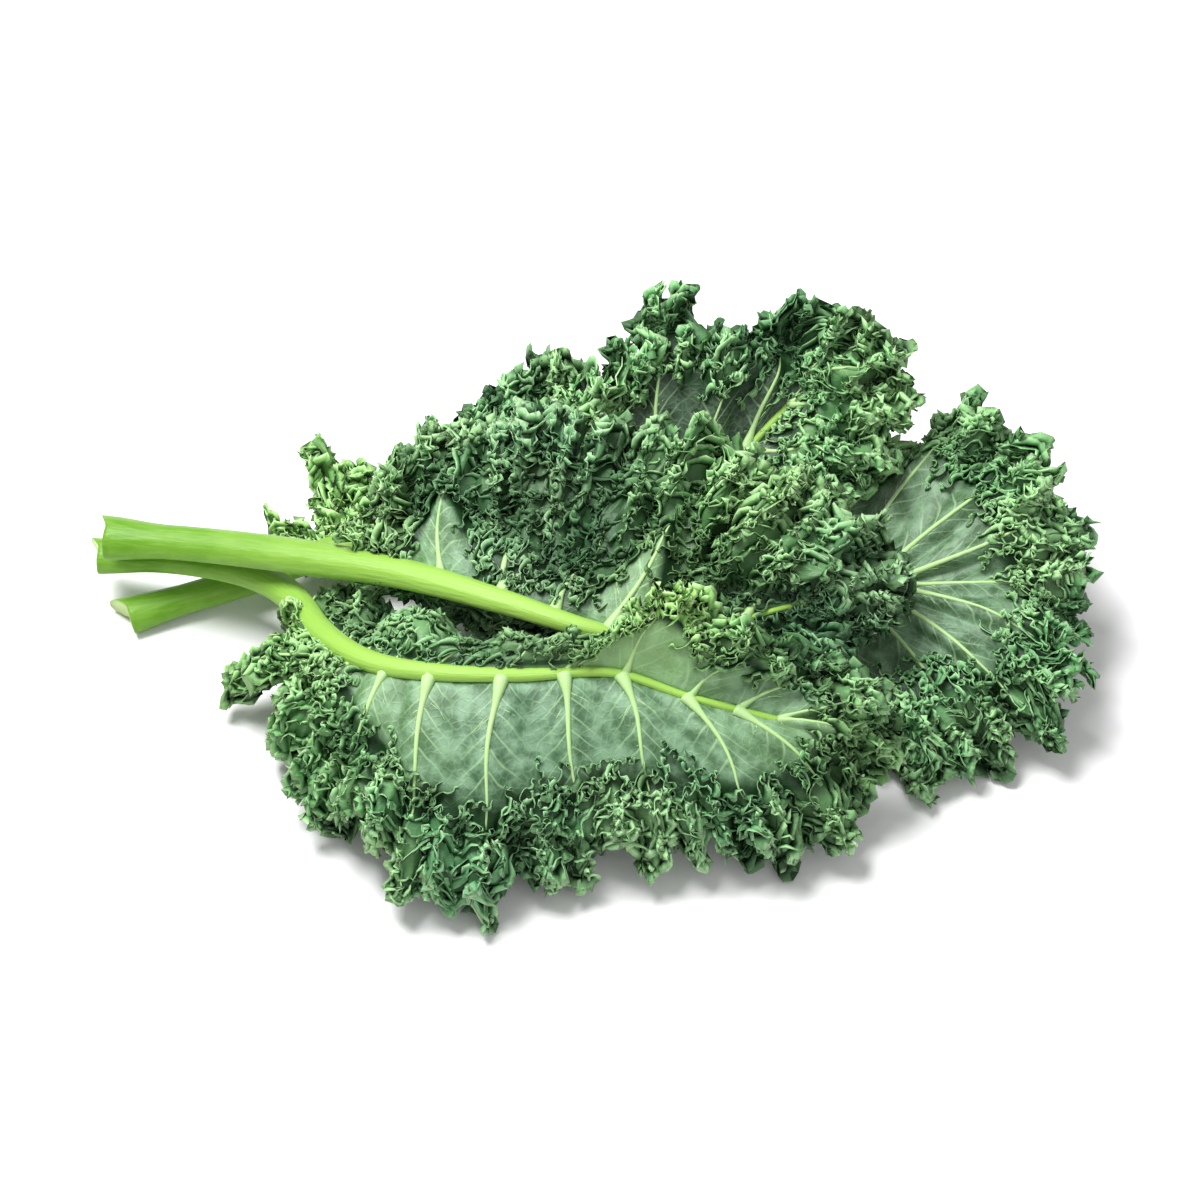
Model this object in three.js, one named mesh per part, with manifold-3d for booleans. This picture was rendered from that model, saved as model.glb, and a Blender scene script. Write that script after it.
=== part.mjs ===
// Bunch of curly kale: four leaves lying in a fan, their stalks crossing near the cut ends.
// Millimetres, +Z up, the stalks at -X, resting on z = 0.
import * as THREE from 'three';
import { mergeVertices } from 'three/addons/utils/BufferGeometryUtils.js';
import Module from 'manifold-3d';

const wasm = await Module();
wasm.setup();

// Driving dimensions.
const bladeThickness = 1.1;
const clearance = 0.35;
const flatShare = 0.4;
const ruffleHeight = 7;
const ruffleSway = 0.1;
const ruffleLength = 22;
const notchDepth = 0.09;
const rowShares = [0.38, 0.68, 1];
const stalkSides = 8;
const veinSides = 3;
const veinShortest = 34;
const baseFlare = 1.28;
const flareLength = 26;
const bunchShift = [4, 9.3, 0];

// Each leaf has its midrib curve, then lobes as [share of the midrib, tip on the left, tip on the right].
const leaves = [
  {
    name: 'upper',
    seed: 11,
    stalkRadius: 7.4,
    endRadius: 1.5,
    arch: [5, 0],
    midrib: [[-190, 35, 30], [-152, 27, 35], [-113, 15, 42], [-74, 0, 50], [-37, -19, 57], [-4, -33, 58],
      [22, -36, 55], [48, -25, 52], [74, -14, 50]],
    lobes: [
      [0.306, [-94, 14, 50], [-87, -3, 46]],
      [0.356, [-79, 49, 62], [-70, -5, 41]],
      [0.418, [-58, 61, 66], [-56, -9, 32]],
      [0.500, [-21, 65, 70], [-32, -11, 25]],
      [0.573, [16, 55, 74], [-8, -16, 22]],
      [0.658, [48, 44, 76], [19, -26, 28]],
      [0.768, [76, 33, 68], [53, -39, 36]],
      [0.893, [100, 18, 60], [86, -36, 42]],
      [1.000, [112, 9, 54], [106, -25, 46]],
    ],
    tip: [116, -6, 48],
  },
  {
    name: 'front',
    seed: 23,
    stalkRadius: 6,
    endRadius: 1.4,
    arch: [4, 10],
    midrib: [[-195, 37, 17], [-161, 32, 20], [-134, 22, 24], [-117, 7, 29], [-103, -18, 37], [-85, -39, 47],
      [-61, -50, 54], [-29, -53, 56], [4, -51, 55], [32, -59, 51], [65, -66, 46]],
    lobes: [
      [0.341, [-104, 12, 27], [-118, -2, 26]],
      [0.400, [-94, 8, 29], [-134, -4, 16]],
      [0.443, [-80, 0, 31], [-142, -28, 6]],
      [0.485, [-67, -11, 34], [-119, -48, 8]],
      [0.539, [-54, -27, 48], [-100, -88, 6]],
      [0.600, [-37, -34, 55], [-72, -118, 4]],
      [0.678, [-16, -40, 61], [-44, -126, 3.5]],
      [0.744, [6, -43, 66], [-4, -111, 4.5]],
      [0.812, [30, -36, 84], [25, -105, 8]],
      [0.900, [63, -49, 68], [64, -108, 8]],
      [0.956, [91, -46, 54], [94, -94, 10]],
      [1.000, [103, -56, 46], [105, -71, 22]],
    ],
    tip: [109, -64, 34],
  },
  {
    name: 'back',
    seed: 37,
    stalkRadius: 6.4,
    endRadius: 1.4,
    arch: [-2, 4],
    midrib: [[-184, 17, 4], [-158, 25, 6.5], [-128, 33, 11], [-102, 40, 18], [-77, 41, 25], [-46, 40, 30],
      [-15, 41, 34], [15, 45, 38], [38, 51, 44], [55, 60, 52], [73, 76, 62]],
    lobes: [
      [0.240, [-131, 55, 25], [-115, 32, 12]],
      [0.307, [-104, 50, 18], [-95, 35, 16]],
      [0.343, [-118, 92, 16], [-83, 34, 14]],
      [0.400, [-86, 79, 14], [-65, 29, 18]],
      [0.457, [-70, 98, 26], [-46, 28, 18]],
      [0.525, [-43, 102, 45], [-23, 26, 20]],
      [0.594, [-21, 107, 62], [0, 22, 24]],
      [0.655, [5, 85, 76], [19, 24, 24]],
      [0.722, [20, 108, 98], [44, 26, 28]],
      [0.805, [51, 86, 92], [72, 31, 34]],
      [0.907, [77, 102, 94], [110, 47, 52]],
      [1.000, [98, 98, 90], [122, 71, 62]],
    ],
    tip: [117, 87, 80],
  },
  {
    name: 'right',
    seed: 53,
    stalkRadius: 5.4,
    endRadius: 1.6,
    arch: [6, 8],
    midrib: [[-176, 54, 2.4], [-133, 54, 2.4], [-90, 51, 2.4], [-47, 44, 4.5], [-4, 34, 9], [38, 27, 13],
      [76, 19, 20], [108, 13, 28]],
    lobes: [
      [0.636, [21, 38, 14], [23, 19, 12]],
      [0.701, [57, 72, 10], [62, -15, 6]],
      [0.777, [94, 79, 20], [95, -41, 4]],
      [0.857, [119, 77, 31], [122, -72, 3.5]],
      [0.923, [144, 87, 52], [150, -60, 8]],
      [0.971, [172, 59, 54], [171, -54, 16]],
      [1.000, [184, 28, 46], [182, -29, 28]],
    ],
    tip: [188, 3, 36],
  },
];

const up = new THREE.Vector3(0, 0, 1);

// Repeatable number from 0 to 1 for a leaf's seed and a counter.
function chance(seed, index) {
  const value = Math.sin(seed * 12.9898 + index * 78.233) * 43758.5453;
  return value - Math.floor(value);
}

function smooth(low, high, value) {
  const t = Math.min(1, Math.max(0, (value - low) / (high - low)));
  return t * t * (3 - 2 * t);
}

function curveThrough(points) {
  return new THREE.CatmullRomCurve3(points, false, 'catmullrom', 0.5);
}

function vectors(rows) {
  return rows.map((row) => new THREE.Vector3(...row));
}

// Direction along the midrib, to its left and out of its rounded back.
function frameAt(path, at) {
  const along = path.getTangent(at);
  const side = new THREE.Vector3().crossVectors(up, along).normalize();
  const out = new THREE.Vector3().crossVectors(along, side).normalize();
  return { along, side, out };
}

function radiusAt(leaf, at) {
  const bare = leaf.lobes[0][0];
  const taper = smooth(bare * 0.8, 1, at) ** 0.75;
  return THREE.MathUtils.lerp(leaf.stalkRadius, leaf.endRadius, taper);
}

// The ribs in order round the leaf: left side from the base, the tip, right side back to the base.
function ribsOf(leaf) {
  const path = curveThrough(vectors(leaf.midrib));
  const left = leaf.lobes.map(([at, tip]) => ({ at, tip, arch: leaf.arch[0] }));
  const right = leaf.lobes.map(([at, , tip]) => ({ at, tip, arch: leaf.arch[1] })).reverse();
  const ribs = [...left, { at: 1, tip: leaf.tip, arch: 2 }, ...right];
  const tips = ribs.map((rib) => new THREE.Vector3(...rib.tip));
  const bows = ribs.map((rib) => new THREE.Vector3(0, 0, rib.arch));
  return { path, ribs, tips: curveThrough(tips), bows: curveThrough(bows), tipPoints: tips };
}

// Columns between neighbouring ribs, the same count on both sides of the midrib.
function columnPlan(leaf, shape) {
  const pairs = leaf.lobes.length;
  const last = shape.ribs.length - 1;
  const spans = [];
  for (let k = 0; k < last; k += 1) {
    spans.push(shape.tipPoints[k].distanceTo(shape.tipPoints[k + 1]));
  }
  const plan = [];
  for (let k = 0; k < last; k += 1) {
    const mirror = last - 1 - k;
    const longest = k === pairs - 1 || k === pairs ? spans[k] : Math.max(spans[k], spans[mirror]);
    const ruffles = Math.max(1, Math.min(2, Math.round(longest / ruffleLength)));
    for (let n = 0; n < ruffles * 4; n += 1) {
      plan.push({ rib: k + n / (ruffles * 4), phase: n / 4 });
    }
  }
  plan.push({ rib: last, phase: 0 });
  return plan;
}

// Point of the flat leaf at a column and a share of the way from midrib to tip.
function flatPoint(leaf, shape, rib, share) {
  const last = shape.ribs.length - 1;
  const k = Math.min(last - 1, Math.floor(rib));
  const at = THREE.MathUtils.lerp(shape.ribs[k].at, shape.ribs[k + 1].at, rib - k);
  const root = shape.path.getPoint(at);
  const drop = radiusAt(leaf, at) * 0.8 + clearance + bladeThickness / 2 + 0.3;
  root.addScaledVector(frameAt(shape.path, at).out, -drop);
  const tip = shape.tips.getPoint(rib / last);
  const middle = root.clone().lerp(tip, 0.5).add(shape.bows.getPoint(rib / last).multiplyScalar(2));
  const a = (1 - share) ** 2;
  const b = 2 * share * (1 - share);
  const c = share ** 2;
  return root.multiplyScalar(a).addScaledVector(middle, b).addScaledVector(tip, c);
}

// Point of the ruffled leaf: flat near the midrib, waved and swaying toward the edge.
function ruffledPoint(leaf, shape, column, share) {
  const { rib, phase } = column;
  const last = shape.ribs.length - 1;
  const between = 0.5 - 0.5 * Math.cos(2 * Math.PI * rib);
  const reach = share * (1 - notchDepth * between ** 2);
  const point = flatPoint(leaf, shape, rib, reach);
  const step = 0.02;
  const ahead = flatPoint(leaf, shape, Math.min(last, rib + step), reach);
  const behind = flatPoint(leaf, shape, Math.max(0, rib - step), reach);
  const outer = flatPoint(leaf, shape, rib, reach + step);
  const along = ahead.sub(behind);
  const outward = outer.sub(flatPoint(leaf, shape, rib, reach - step));
  const normal = new THREE.Vector3().crossVectors(outward, along).normalize();
  const root = shape.path.getPoint(shape.ribs[Math.round(rib)].at);
  const length = shape.tips.getPoint(rib / last).distanceTo(root);
  const size = Math.min(1, length / 40) * (0.75 + 0.5 * chance(leaf.seed, Math.floor(rib * 8)));
  const rise = ruffleHeight * size * smooth(flatShare, 1, share);
  const wave = Math.sin(2 * Math.PI * phase);
  point.addScaledVector(normal, rise * wave);
  point.addScaledVector(outward.normalize(), rise * ruffleSway * Math.abs(wave));
  return point;
}

// Joins points that coincide and drops triangles that have lost their area.
function weldedSheet(grid) {
  const keys = new Map();
  const points = [];
  const index = grid.map((rowPoints) => rowPoints.map((point) => {
    const key = point.toArray().map((value) => value.toFixed(3)).join();
    if (!keys.has(key)) {
      keys.set(key, points.length);
      points.push(point);
    }
    return keys.get(key);
  }));
  const faces = [];
  const addFace = (a, b, c) => {
    if (a !== b && b !== c && a !== c) faces.push([a, b, c]);
  };
  for (let j = 0; j + 1 < index.length; j += 1) {
    for (let i = 0; i + 1 < index[j].length; i += 1) {
      const [a, b, c, d] = [index[j][i], index[j + 1][i], index[j + 1][i + 1], index[j][i + 1]];
      if ((i + j) % 2 === 0) {
        addFace(a, b, c);
        addFace(a, c, d);
      } else {
        addFace(a, b, d);
        addFace(b, c, d);
      }
    }
  }
  return { points, faces };
}

// Closed body of even thickness round a sheet of triangles.
function thickened({ points, faces }, thickness) {
  const normals = points.map(() => new THREE.Vector3());
  const edges = new Map();
  for (const face of faces) {
    const [a, b, c] = face.map((n) => points[n]);
    const normal = new THREE.Vector3().crossVectors(b.clone().sub(a), c.clone().sub(a));
    for (let n = 0; n < 3; n += 1) {
      normals[face[n]].add(normal);
      edges.set(`${face[n]},${face[(n + 1) % 3]}`, [face[n], face[(n + 1) % 3]]);
    }
  }
  const count = points.length;
  const positions = [];
  for (const side of [0.5, -0.5]) {
    for (let n = 0; n < count; n += 1) {
      const offset = normals[n].clone().setLength(thickness * side);
      positions.push(...points[n].clone().add(offset).toArray());
    }
  }
  const triangles = [];
  for (const [a, b, c] of faces) {
    triangles.push(a, b, c, count + a, count + c, count + b);
  }
  for (const [a, b] of edges.values()) {
    if (!edges.has(`${b},${a}`)) {
      triangles.push(a, count + a, count + b, a, count + b, b);
    }
  }
  return solidOf(positions, triangles);
}

function solidOf(positions, triangles) {
  const geometry = new THREE.BufferGeometry();
  geometry.setAttribute('position', new THREE.Float32BufferAttribute(positions, 3));
  geometry.setIndex(triangles);
  const merged = mergeVertices(geometry, 1e-3);
  return new wasm.Manifold(new wasm.Mesh({
    numProp: 3,
    vertProperties: new Float32Array(merged.attributes.position.array),
    triVerts: new Uint32Array(merged.index.array),
  }));
}

// Closed tube through rings of points, with a centre point at each end.
function loft(rings) {
  const sides = rings[0].length;
  const positions = [];
  const triangles = [];
  rings.forEach((ring) => ring.forEach((point) => positions.push(...point.toArray())));
  for (const ring of [rings[0], rings[rings.length - 1]]) {
    const centre = ring.reduce((sum, point) => sum.add(point), new THREE.Vector3()).divideScalar(sides);
    positions.push(...centre.toArray());
  }
  const first = rings.length * sides;
  const end = (rings.length - 1) * sides;
  for (let r = 0; r + 1 < rings.length; r += 1) {
    for (let n = 0; n < sides; n += 1) {
      const a = r * sides + n;
      const b = r * sides + (n + 1) % sides;
      triangles.push(a, b, b + sides, a, b + sides, a + sides);
    }
  }
  for (let n = 0; n < sides; n += 1) {
    const next = (n + 1) % sides;
    triangles.push(first, next, n);
    triangles.push(first + 1, end + n, end + next);
  }
  return solidOf(positions, triangles);
}

// Petiole and midrib: rounded back, a shallow groove below, a flared and notched cut end.
function midribSolid(leaf, shape, grow) {
  const stations = [0, 0.015, 0.05, 0.1, 0.18, 0.25, 0.31, 0.37, 0.43, 0.5, 0.58, 0.66, 0.75, 0.84, 0.93, 1];
  const length = shape.path.getLength();
  const rings = stations.map((at) => {
    const { along, side, out } = frameAt(shape.path, at);
    const flare = 1 + (baseFlare - 1) * (1 - smooth(0, 1, at * length / flareLength));
    const radius = radiusAt(leaf, at) * flare + grow;
    const ring = [];
    for (let n = 0; n < stalkSides; n += 1) {
      const angle = (n + 0.5) / stalkSides * 2 * Math.PI;
      const x = Math.cos(angle);
      const y = Math.sin(angle);
      const depth = y > 0 ? 0.86 : 0.72 - 0.22 * (1 - Math.abs(x));
      const notch = at === 0 ? 5 * (1 - Math.abs(x)) * (y > 0 ? 0.6 : 1) - 3 * x : 0;
      const point = shape.path.getPoint(at);
      point.addScaledVector(side, x * radius);
      point.addScaledVector(out, y * radius * depth);
      point.addScaledVector(along, notch);
      ring.push(point);
    }
    return ring;
  });
  return loft(rings);
}

// Side vein: a thin taper lying on the leaf from the midrib toward a lobe's tip.
function veinSolid(leaf, shape, rib, grow) {
  const shares = [0.02, 0.16, 0.34, 0.54];
  const rings = shares.map((share, index) => {
    const point = flatPoint(leaf, shape, rib, share);
    const outward = flatPoint(leaf, shape, rib, share + 0.02).sub(point).normalize();
    const ahead = flatPoint(leaf, shape, Math.min(shape.ribs.length - 1, rib + 0.02), share);
    const behind = flatPoint(leaf, shape, Math.max(0, rib - 0.02), share);
    const normal = new THREE.Vector3().crossVectors(outward, ahead.sub(behind)).normalize();
    if (normal.z < 0) normal.negate();
    const across = new THREE.Vector3().crossVectors(normal, outward).normalize();
    const radius = THREE.MathUtils.lerp(1.7, 0.5, index / (shares.length - 1)) + grow;
    point.addScaledVector(normal, bladeThickness / 2 + clearance + radius - grow + 0.05);
    const ring = [];
    for (let n = 0; n < veinSides; n += 1) {
      const angle = (n / veinSides + 0.25) * 2 * Math.PI;
      const corner = point.clone();
      corner.addScaledVector(across, Math.cos(angle) * radius * 1.3);
      corner.addScaledVector(normal, Math.sin(angle) * radius);
      ring.push(corner);
    }
    return ring;
  });
  return loft(rings);
}

function stalkSolid(leaf, shape, grow) {
  let solid = midribSolid(leaf, shape, grow);
  shape.ribs.forEach((rib, index) => {
    const long = shape.tipPoints[index].distanceTo(shape.path.getPoint(rib.at)) > veinShortest;
    if (long && rib.at < 1) solid = solid.add(veinSolid(leaf, shape, index, grow));
  });
  return solid;
}

function bladeSolid(leaf, shape, thickness) {
  const columns = columnPlan(leaf, shape);
  const grid = columns.map((column) => [
    flatPoint(leaf, shape, column.rib, 0),
    ...rowShares.map((share) => ruffledPoint(leaf, shape, column, share)),
  ]);
  return thickened(weldedSheet(grid), thickness);
}

// Keeps the biggest body of a solid that a cut has left in pieces.
function biggest(solid) {
  return solid.decompose().reduce((best, piece) => (piece.volume() > best.volume() ? piece : best));
}

function meshOf(name, solid, material) {
  const { vertProperties, triVerts } = solid.getMesh();
  const geometry = new THREE.BufferGeometry();
  geometry.setAttribute('position', new THREE.Float32BufferAttribute(vertProperties, 3));
  geometry.setIndex(new THREE.Uint32BufferAttribute(triVerts, 1));
  const mesh = new THREE.Mesh(geometry, material);
  mesh.name = name;
  return mesh;
}

// Everything below the surface that the bunch lies on.
function belowGround() {
  const box = new THREE.BoxGeometry(600, 600, 60);
  box.deleteAttribute('normal').deleteAttribute('uv');
  box.translate(0, 0, -30);
  return solidOf(box.attributes.position.array, Array.from(box.index.array));
}

const group = new THREE.Group();
group.position.set(...bunchShift);
const ground = belowGround();
const solids = leaves.map((leaf) => {
  const shape = ribsOf(leaf);
  const stalk = stalkSolid(leaf, shape, 0).subtract(ground);
  const grown = stalkSolid(leaf, shape, clearance);
  const blade = bladeSolid(leaf, shape, bladeThickness).subtract(grown).subtract(ground);
  return { leaf, shape, stalk: biggest(stalk), blade: biggest(blade) };
});

for (const { leaf, stalk, blade } of solids) {
  const stalkMaterial = new THREE.MeshStandardMaterial({ color: '#9bcc59', roughness: 0.45, metalness: 0 });
  const bladeMaterial = new THREE.MeshStandardMaterial({ color: '#4f7f4a', roughness: 0.6, metalness: 0 });
  group.add(meshOf(`stalk_${leaf.name}`, stalk, stalkMaterial));
  group.add(meshOf(`blade_${leaf.name}`, blade, bladeMaterial));
}

export default group;
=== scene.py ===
# Curly kale bunch: four leaves lying in a fan on a pale floor, stalks to the left.
# Lengths in the settings are millimetres; the meshes are made in metres.
import math

import bpy
import numpy as np
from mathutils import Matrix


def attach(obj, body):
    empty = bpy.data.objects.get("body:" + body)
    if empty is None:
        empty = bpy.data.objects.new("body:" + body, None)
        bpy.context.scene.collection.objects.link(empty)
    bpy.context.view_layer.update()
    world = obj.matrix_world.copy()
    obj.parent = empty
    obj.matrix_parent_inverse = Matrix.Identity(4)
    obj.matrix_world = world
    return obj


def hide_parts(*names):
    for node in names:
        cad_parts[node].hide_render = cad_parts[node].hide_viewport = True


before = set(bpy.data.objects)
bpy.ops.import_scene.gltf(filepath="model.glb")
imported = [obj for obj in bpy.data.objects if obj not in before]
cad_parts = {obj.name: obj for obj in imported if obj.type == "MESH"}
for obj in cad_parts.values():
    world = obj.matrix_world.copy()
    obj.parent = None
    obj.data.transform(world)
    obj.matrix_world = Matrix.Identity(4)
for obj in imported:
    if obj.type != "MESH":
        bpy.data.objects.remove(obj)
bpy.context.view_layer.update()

bunchShift = np.array([4.0, 9.3, 0.0])  # the leaves' curves are drawn about the crossing of the stalks

# Each leaf: midrib curve, then lobes as (share of the midrib, tip on the left, tip on the right). Ribs are
# counted round the leaf, from the base lobe on the left by the tip to the base lobe on the right. "flat" is
# how far out the blade stays flat and "young" how yellow it is, each as (ribs, values there), "veins" how far
# out the side veins reach, and "notches" are deeper cuts between lobes as (rib, depth, width in ribs).
leafForms = {
    "upper": {
        "seed": 11, "stalkRadius": 7.4, "endRadius": 1.0, "arch": (5, 0), "veins": 0.5,
        "flat": ((0, 1.4, 2, 2.6, 4.4, 5, 5.6, 18), (0.02, 0.02, 0.5, 0.02, 0.02, 0.42, 0.02, 0)),
        "young": ((0, 1, 3, 4, 5, 6, 8, 14, 18), (0.7, 0.4, 0.0, 0.1, 0.45, 0.45, 0.0, 0.0, 0.5)),
        "notches": [(0.5, 0.35, 0.3)],
        "midrib": [(-190, 35, 30), (-152, 27, 35), (-113, 15, 42), (-74, 0, 50), (-37, -19, 57),
                   (-4, -33, 58), (22, -36, 55), (48, -25, 52), (74, -14, 50)],
        "lobes": [(0.306, (-94, 14, 50), (-87, -3, 46)), (0.356, (-79, 49, 62), (-70, -5, 41)),
                  (0.418, (-58, 61, 66), (-56, -9, 32)), (0.500, (-21, 65, 70), (-32, -11, 25)),
                  (0.573, (16, 55, 74), (-8, -16, 22)), (0.658, (48, 44, 76), (19, -26, 28)),
                  (0.768, (76, 33, 68), (53, -39, 36)), (0.893, (100, 18, 60), (86, -36, 42)),
                  (1.000, (112, 9, 54), (106, -25, 46))],
        "tip": (116, -6, 48),
    },
    "front": {
        "seed": 23, "stalkRadius": 6.0, "endRadius": 1.4, "arch": (4, 10), "veins": 0.68,
        "flat": ((0, 7, 8, 9, 11, 12, 13, 16, 18, 19, 20, 21, 24),
                 (0.1, 0.1, 0.52, 0.5, 0.45, 0.45, 0.5, 0.55, 0.55, 0.5, 0.36, 0.16, 0.1)),
        "young": ((0, 2, 6, 7, 8, 9, 10, 12, 13, 15, 18, 21, 24),
                  (0.6, 0.25, 0.2, 0.5, 1.0, 0.4, 0.15, 0.4, 0.45, 0.1, 0.0, 0.45, 0.9)),
        "notches": [(21.5, 0.45, 0.28), (19.4, 0.1, 0.3)],
        "midrib": [(-195, 37, 17), (-161, 32, 20), (-134, 22, 24), (-117, 7, 29), (-103, -18, 37),
                   (-85, -39, 47), (-61, -50, 54), (-29, -53, 56), (4, -51, 55), (32, -59, 51),
                   (65, -66, 46)],
        "lobes": [(0.341, (-104, 12, 27), (-118, -2, 26)), (0.400, (-94, 8, 29), (-124, -12, 14)),
                  (0.443, (-80, 0, 31), (-142, -28, 6)), (0.485, (-67, -11, 34), (-119, -48, 8)),
                  (0.539, (-54, -27, 48), (-100, -88, 6)), (0.600, (-37, -34, 55), (-72, -118, 4)),
                  (0.678, (-16, -40, 61), (-44, -126, 3.5)), (0.744, (6, -43, 66), (-4, -111, 4.5)),
                  (0.812, (30, -36, 84), (25, -105, 8)), (0.900, (63, -49, 68), (64, -108, 8)),
                  (0.956, (91, -46, 54), (94, -94, 10)), (1.000, (103, -56, 46), (105, -71, 22))],
        "tip": (109, -64, 34),
    },
    "back": {
        "seed": 37, "stalkRadius": 6.4, "endRadius": 1.4, "arch": (-2, 4), "veins": 0.7,
        "flat": ((0, 6, 7, 8, 9, 10, 11, 12, 24), (0.15, 0.15, 0.5, 0.62, 0.62, 0.5, 0.15, 0.1, 0.3)),
        "young": ((0, 3, 5, 7, 9, 12, 24), (0.9, 0.7, 0.1, 0.35, 0.15, 0.3, 0.3)),
        "notches": [(3.5, 0.55, 0.4), (1.5, 0.3, 0.3)],
        "midrib": [(-184, 17, 4), (-158, 25, 6.5), (-128, 33, 11), (-102, 40, 18), (-77, 41, 25),
                   (-46, 40, 30), (-15, 41, 34), (15, 45, 38), (38, 51, 44), (55, 60, 52), (73, 76, 62)],
        "lobes": [(0.240, (-131, 55, 25), (-115, 32, 12)), (0.307, (-104, 50, 18), (-95, 35, 16)),
                  (0.343, (-118, 92, 16), (-83, 34, 14)), (0.400, (-86, 79, 14), (-65, 29, 18)),
                  (0.457, (-70, 98, 26), (-46, 28, 18)), (0.525, (-43, 102, 45), (-23, 26, 20)),
                  (0.594, (-21, 107, 62), (0, 22, 24)), (0.655, (5, 85, 76), (19, 24, 24)),
                  (0.722, (25, 109, 98), (44, 26, 28)), (0.805, (50, 85, 88), (72, 31, 34)),
                  (0.907, (77, 102, 94), (110, 47, 52)), (1.000, (98, 98, 90), (122, 71, 62))],
        "tip": (117, 87, 80),
    },
    "right": {
        "seed": 53, "stalkRadius": 5.4, "endRadius": 1.6, "arch": (6, 8), "veins": 0.74,
        "flat": ((0, 2, 4, 5, 6, 7, 8, 10, 12, 14), (0.45, 0.6, 0.68, 0.55, 0.5, 0.62, 0.66, 0.5, 0.62, 0.5)),
        "young": ((0, 4, 7, 14), (0.1, 0.3, 0.2, 0.1)),
        "notches": [(2.4, 0.2, 0.4)],
        "midrib": [(-176, 54, 2.4), (-133, 54, 2.4), (-90, 51, 2.4), (-47, 44, 4.5), (-4, 34, 9),
                   (38, 27, 13), (76, 19, 20), (108, 13, 28)],
        "lobes": [(0.636, (21, 38, 14), (23, 19, 12)), (0.701, (57, 72, 10), (62, -15, 6)),
                  (0.777, (94, 79, 20), (95, -41, 4)), (0.857, (119, 77, 31), (122, -72, 3.5)),
                  (0.923, (144, 87, 52), (150, -60, 8)), (0.971, (172, 59, 54), (171, -54, 16)),
                  (1.000, (184, 28, 46), (182, -29, 28))],
        "tip": (188, 3, 36),
    },
}


def smoothStep(low, high, value):
    share = np.clip((value - low) / (high - low), 0, 1)
    return share * share * (3 - 2 * share)


def curveAt(points, share):  # even Catmull-Rom curve through all the points
    points = np.asarray(points, float)
    ends = np.vstack([2 * points[0] - points[1], points, 2 * points[-1] - points[-2]])
    place = np.clip(share, 0, 1) * (len(points) - 1)
    k = np.minimum(place.astype(int), len(points) - 2)
    f = (place - k)[..., None]
    a, b, c, d = ends[k], ends[k + 1], ends[k + 2], ends[k + 3]
    square, cube = 2 * a - 5 * b + 4 * c - d, 3 * b - a - 3 * c + d
    return 0.5 * (2 * b + (c - a) * f + square * f ** 2 + cube * f ** 3)


def unit(vectors):
    return vectors / np.maximum(np.linalg.norm(vectors, axis=-1, keepdims=True), 1e-9)


def travelAlong(points):  # distance along a line, at each of its points
    return np.concatenate([[0], np.cumsum(np.linalg.norm(np.diff(points, axis=0), axis=1))])


def midribFrame(form, share):  # place, direction, left, and out of the rounded back
    place = curveAt(form["midrib"], share)
    along = unit(curveAt(form["midrib"], share + 1e-3) - curveAt(form["midrib"], share - 1e-3))
    side = unit(np.cross([0.0, 0.0, 1.0], along))
    return place, along, side, np.cross(along, side)


def stalkRadiusAt(form, share):
    bare = form["lobes"][0][0]
    taper = smoothStep(bare * 0.8, 1, share) ** 0.75
    return form["stalkRadius"] + (form["endRadius"] - form["stalkRadius"]) * taper


def slowNoise(rng, knots, place, size):  # slow random line along the leaf's edge
    return size * np.interp(place, np.linspace(0, 1, knots), rng.uniform(-1, 1, knots))


# One blade is a strip of columns from the base round the tip and back, in rows from the midrib to the edge.
bladeSettings = {
    "columns": 1152,
    # (share of the way to the edge, columns in a step)
    "rows": [(0.0, 8), (0.07, 8), (0.14, 8), (0.21, 8), (0.28, 8), (0.34, 4), (0.4, 4), (0.46, 4), (0.52, 4),
             (0.57, 2), (0.62, 2), (0.67, 2), (0.72, 2), (0.77, 2), (0.82, 1), (0.87, 1), (0.915, 1),
             (0.96, 1), (1.0, 1)],
    "lobeNotch": 0.07, "subNotch": 0.1, "subNotchWave": 19,  # small notches in the edge
    "pillow": 2.8, "thickness": 0.5,
    "lumps": [(27, 6.0), (13, 3.4), (7, 1.2)],  # size and height
    "crest": (-4.5, 5.5),  # heights over the smooth sheet that count as a hollow and as a crest, which set how much painted shade a place gets
    # sway runs along the edge and pull inwards, late is how near the edge a ruffle begins
    "ruffles": [
        {"wave": 25, "height": 5.6, "sway": 3.0, "pull": 2.4, "late": 0.3, "bend": 2.0},
        {"wave": 11, "height": 1.0, "sway": 1.0, "pull": 0.8, "late": 0.4, "bend": 4.0},
        {"wave": 5.2, "height": 1.7, "sway": 0.9, "pull": 0.8, "late": 0.72, "bend": 2.0},
    ],
}

# The curled margin doubles back on itself: frills stand up all over the outer band of the blade.
frillSettings = {
    "columns": 38, "rows": [0.0, 0.55, 1.0], "length": 20, "spacing": 9.4, "tier": 5.0, "thickness": 0.45,
    "height": 5.2, "wave": 4.5, "sway": 1.9, "roll": 0.75, "turn": 1.45, "sink": 0.6, "edgeLean": 1.1,
    "denseTiers": 3,  # rows of frills nearest the edge, which stand closer
    "lengthRange": (0.8, 1.15), "heightRange": (0.75, 1.25), "leanRange": (-0.6, 0.6),
}


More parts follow.
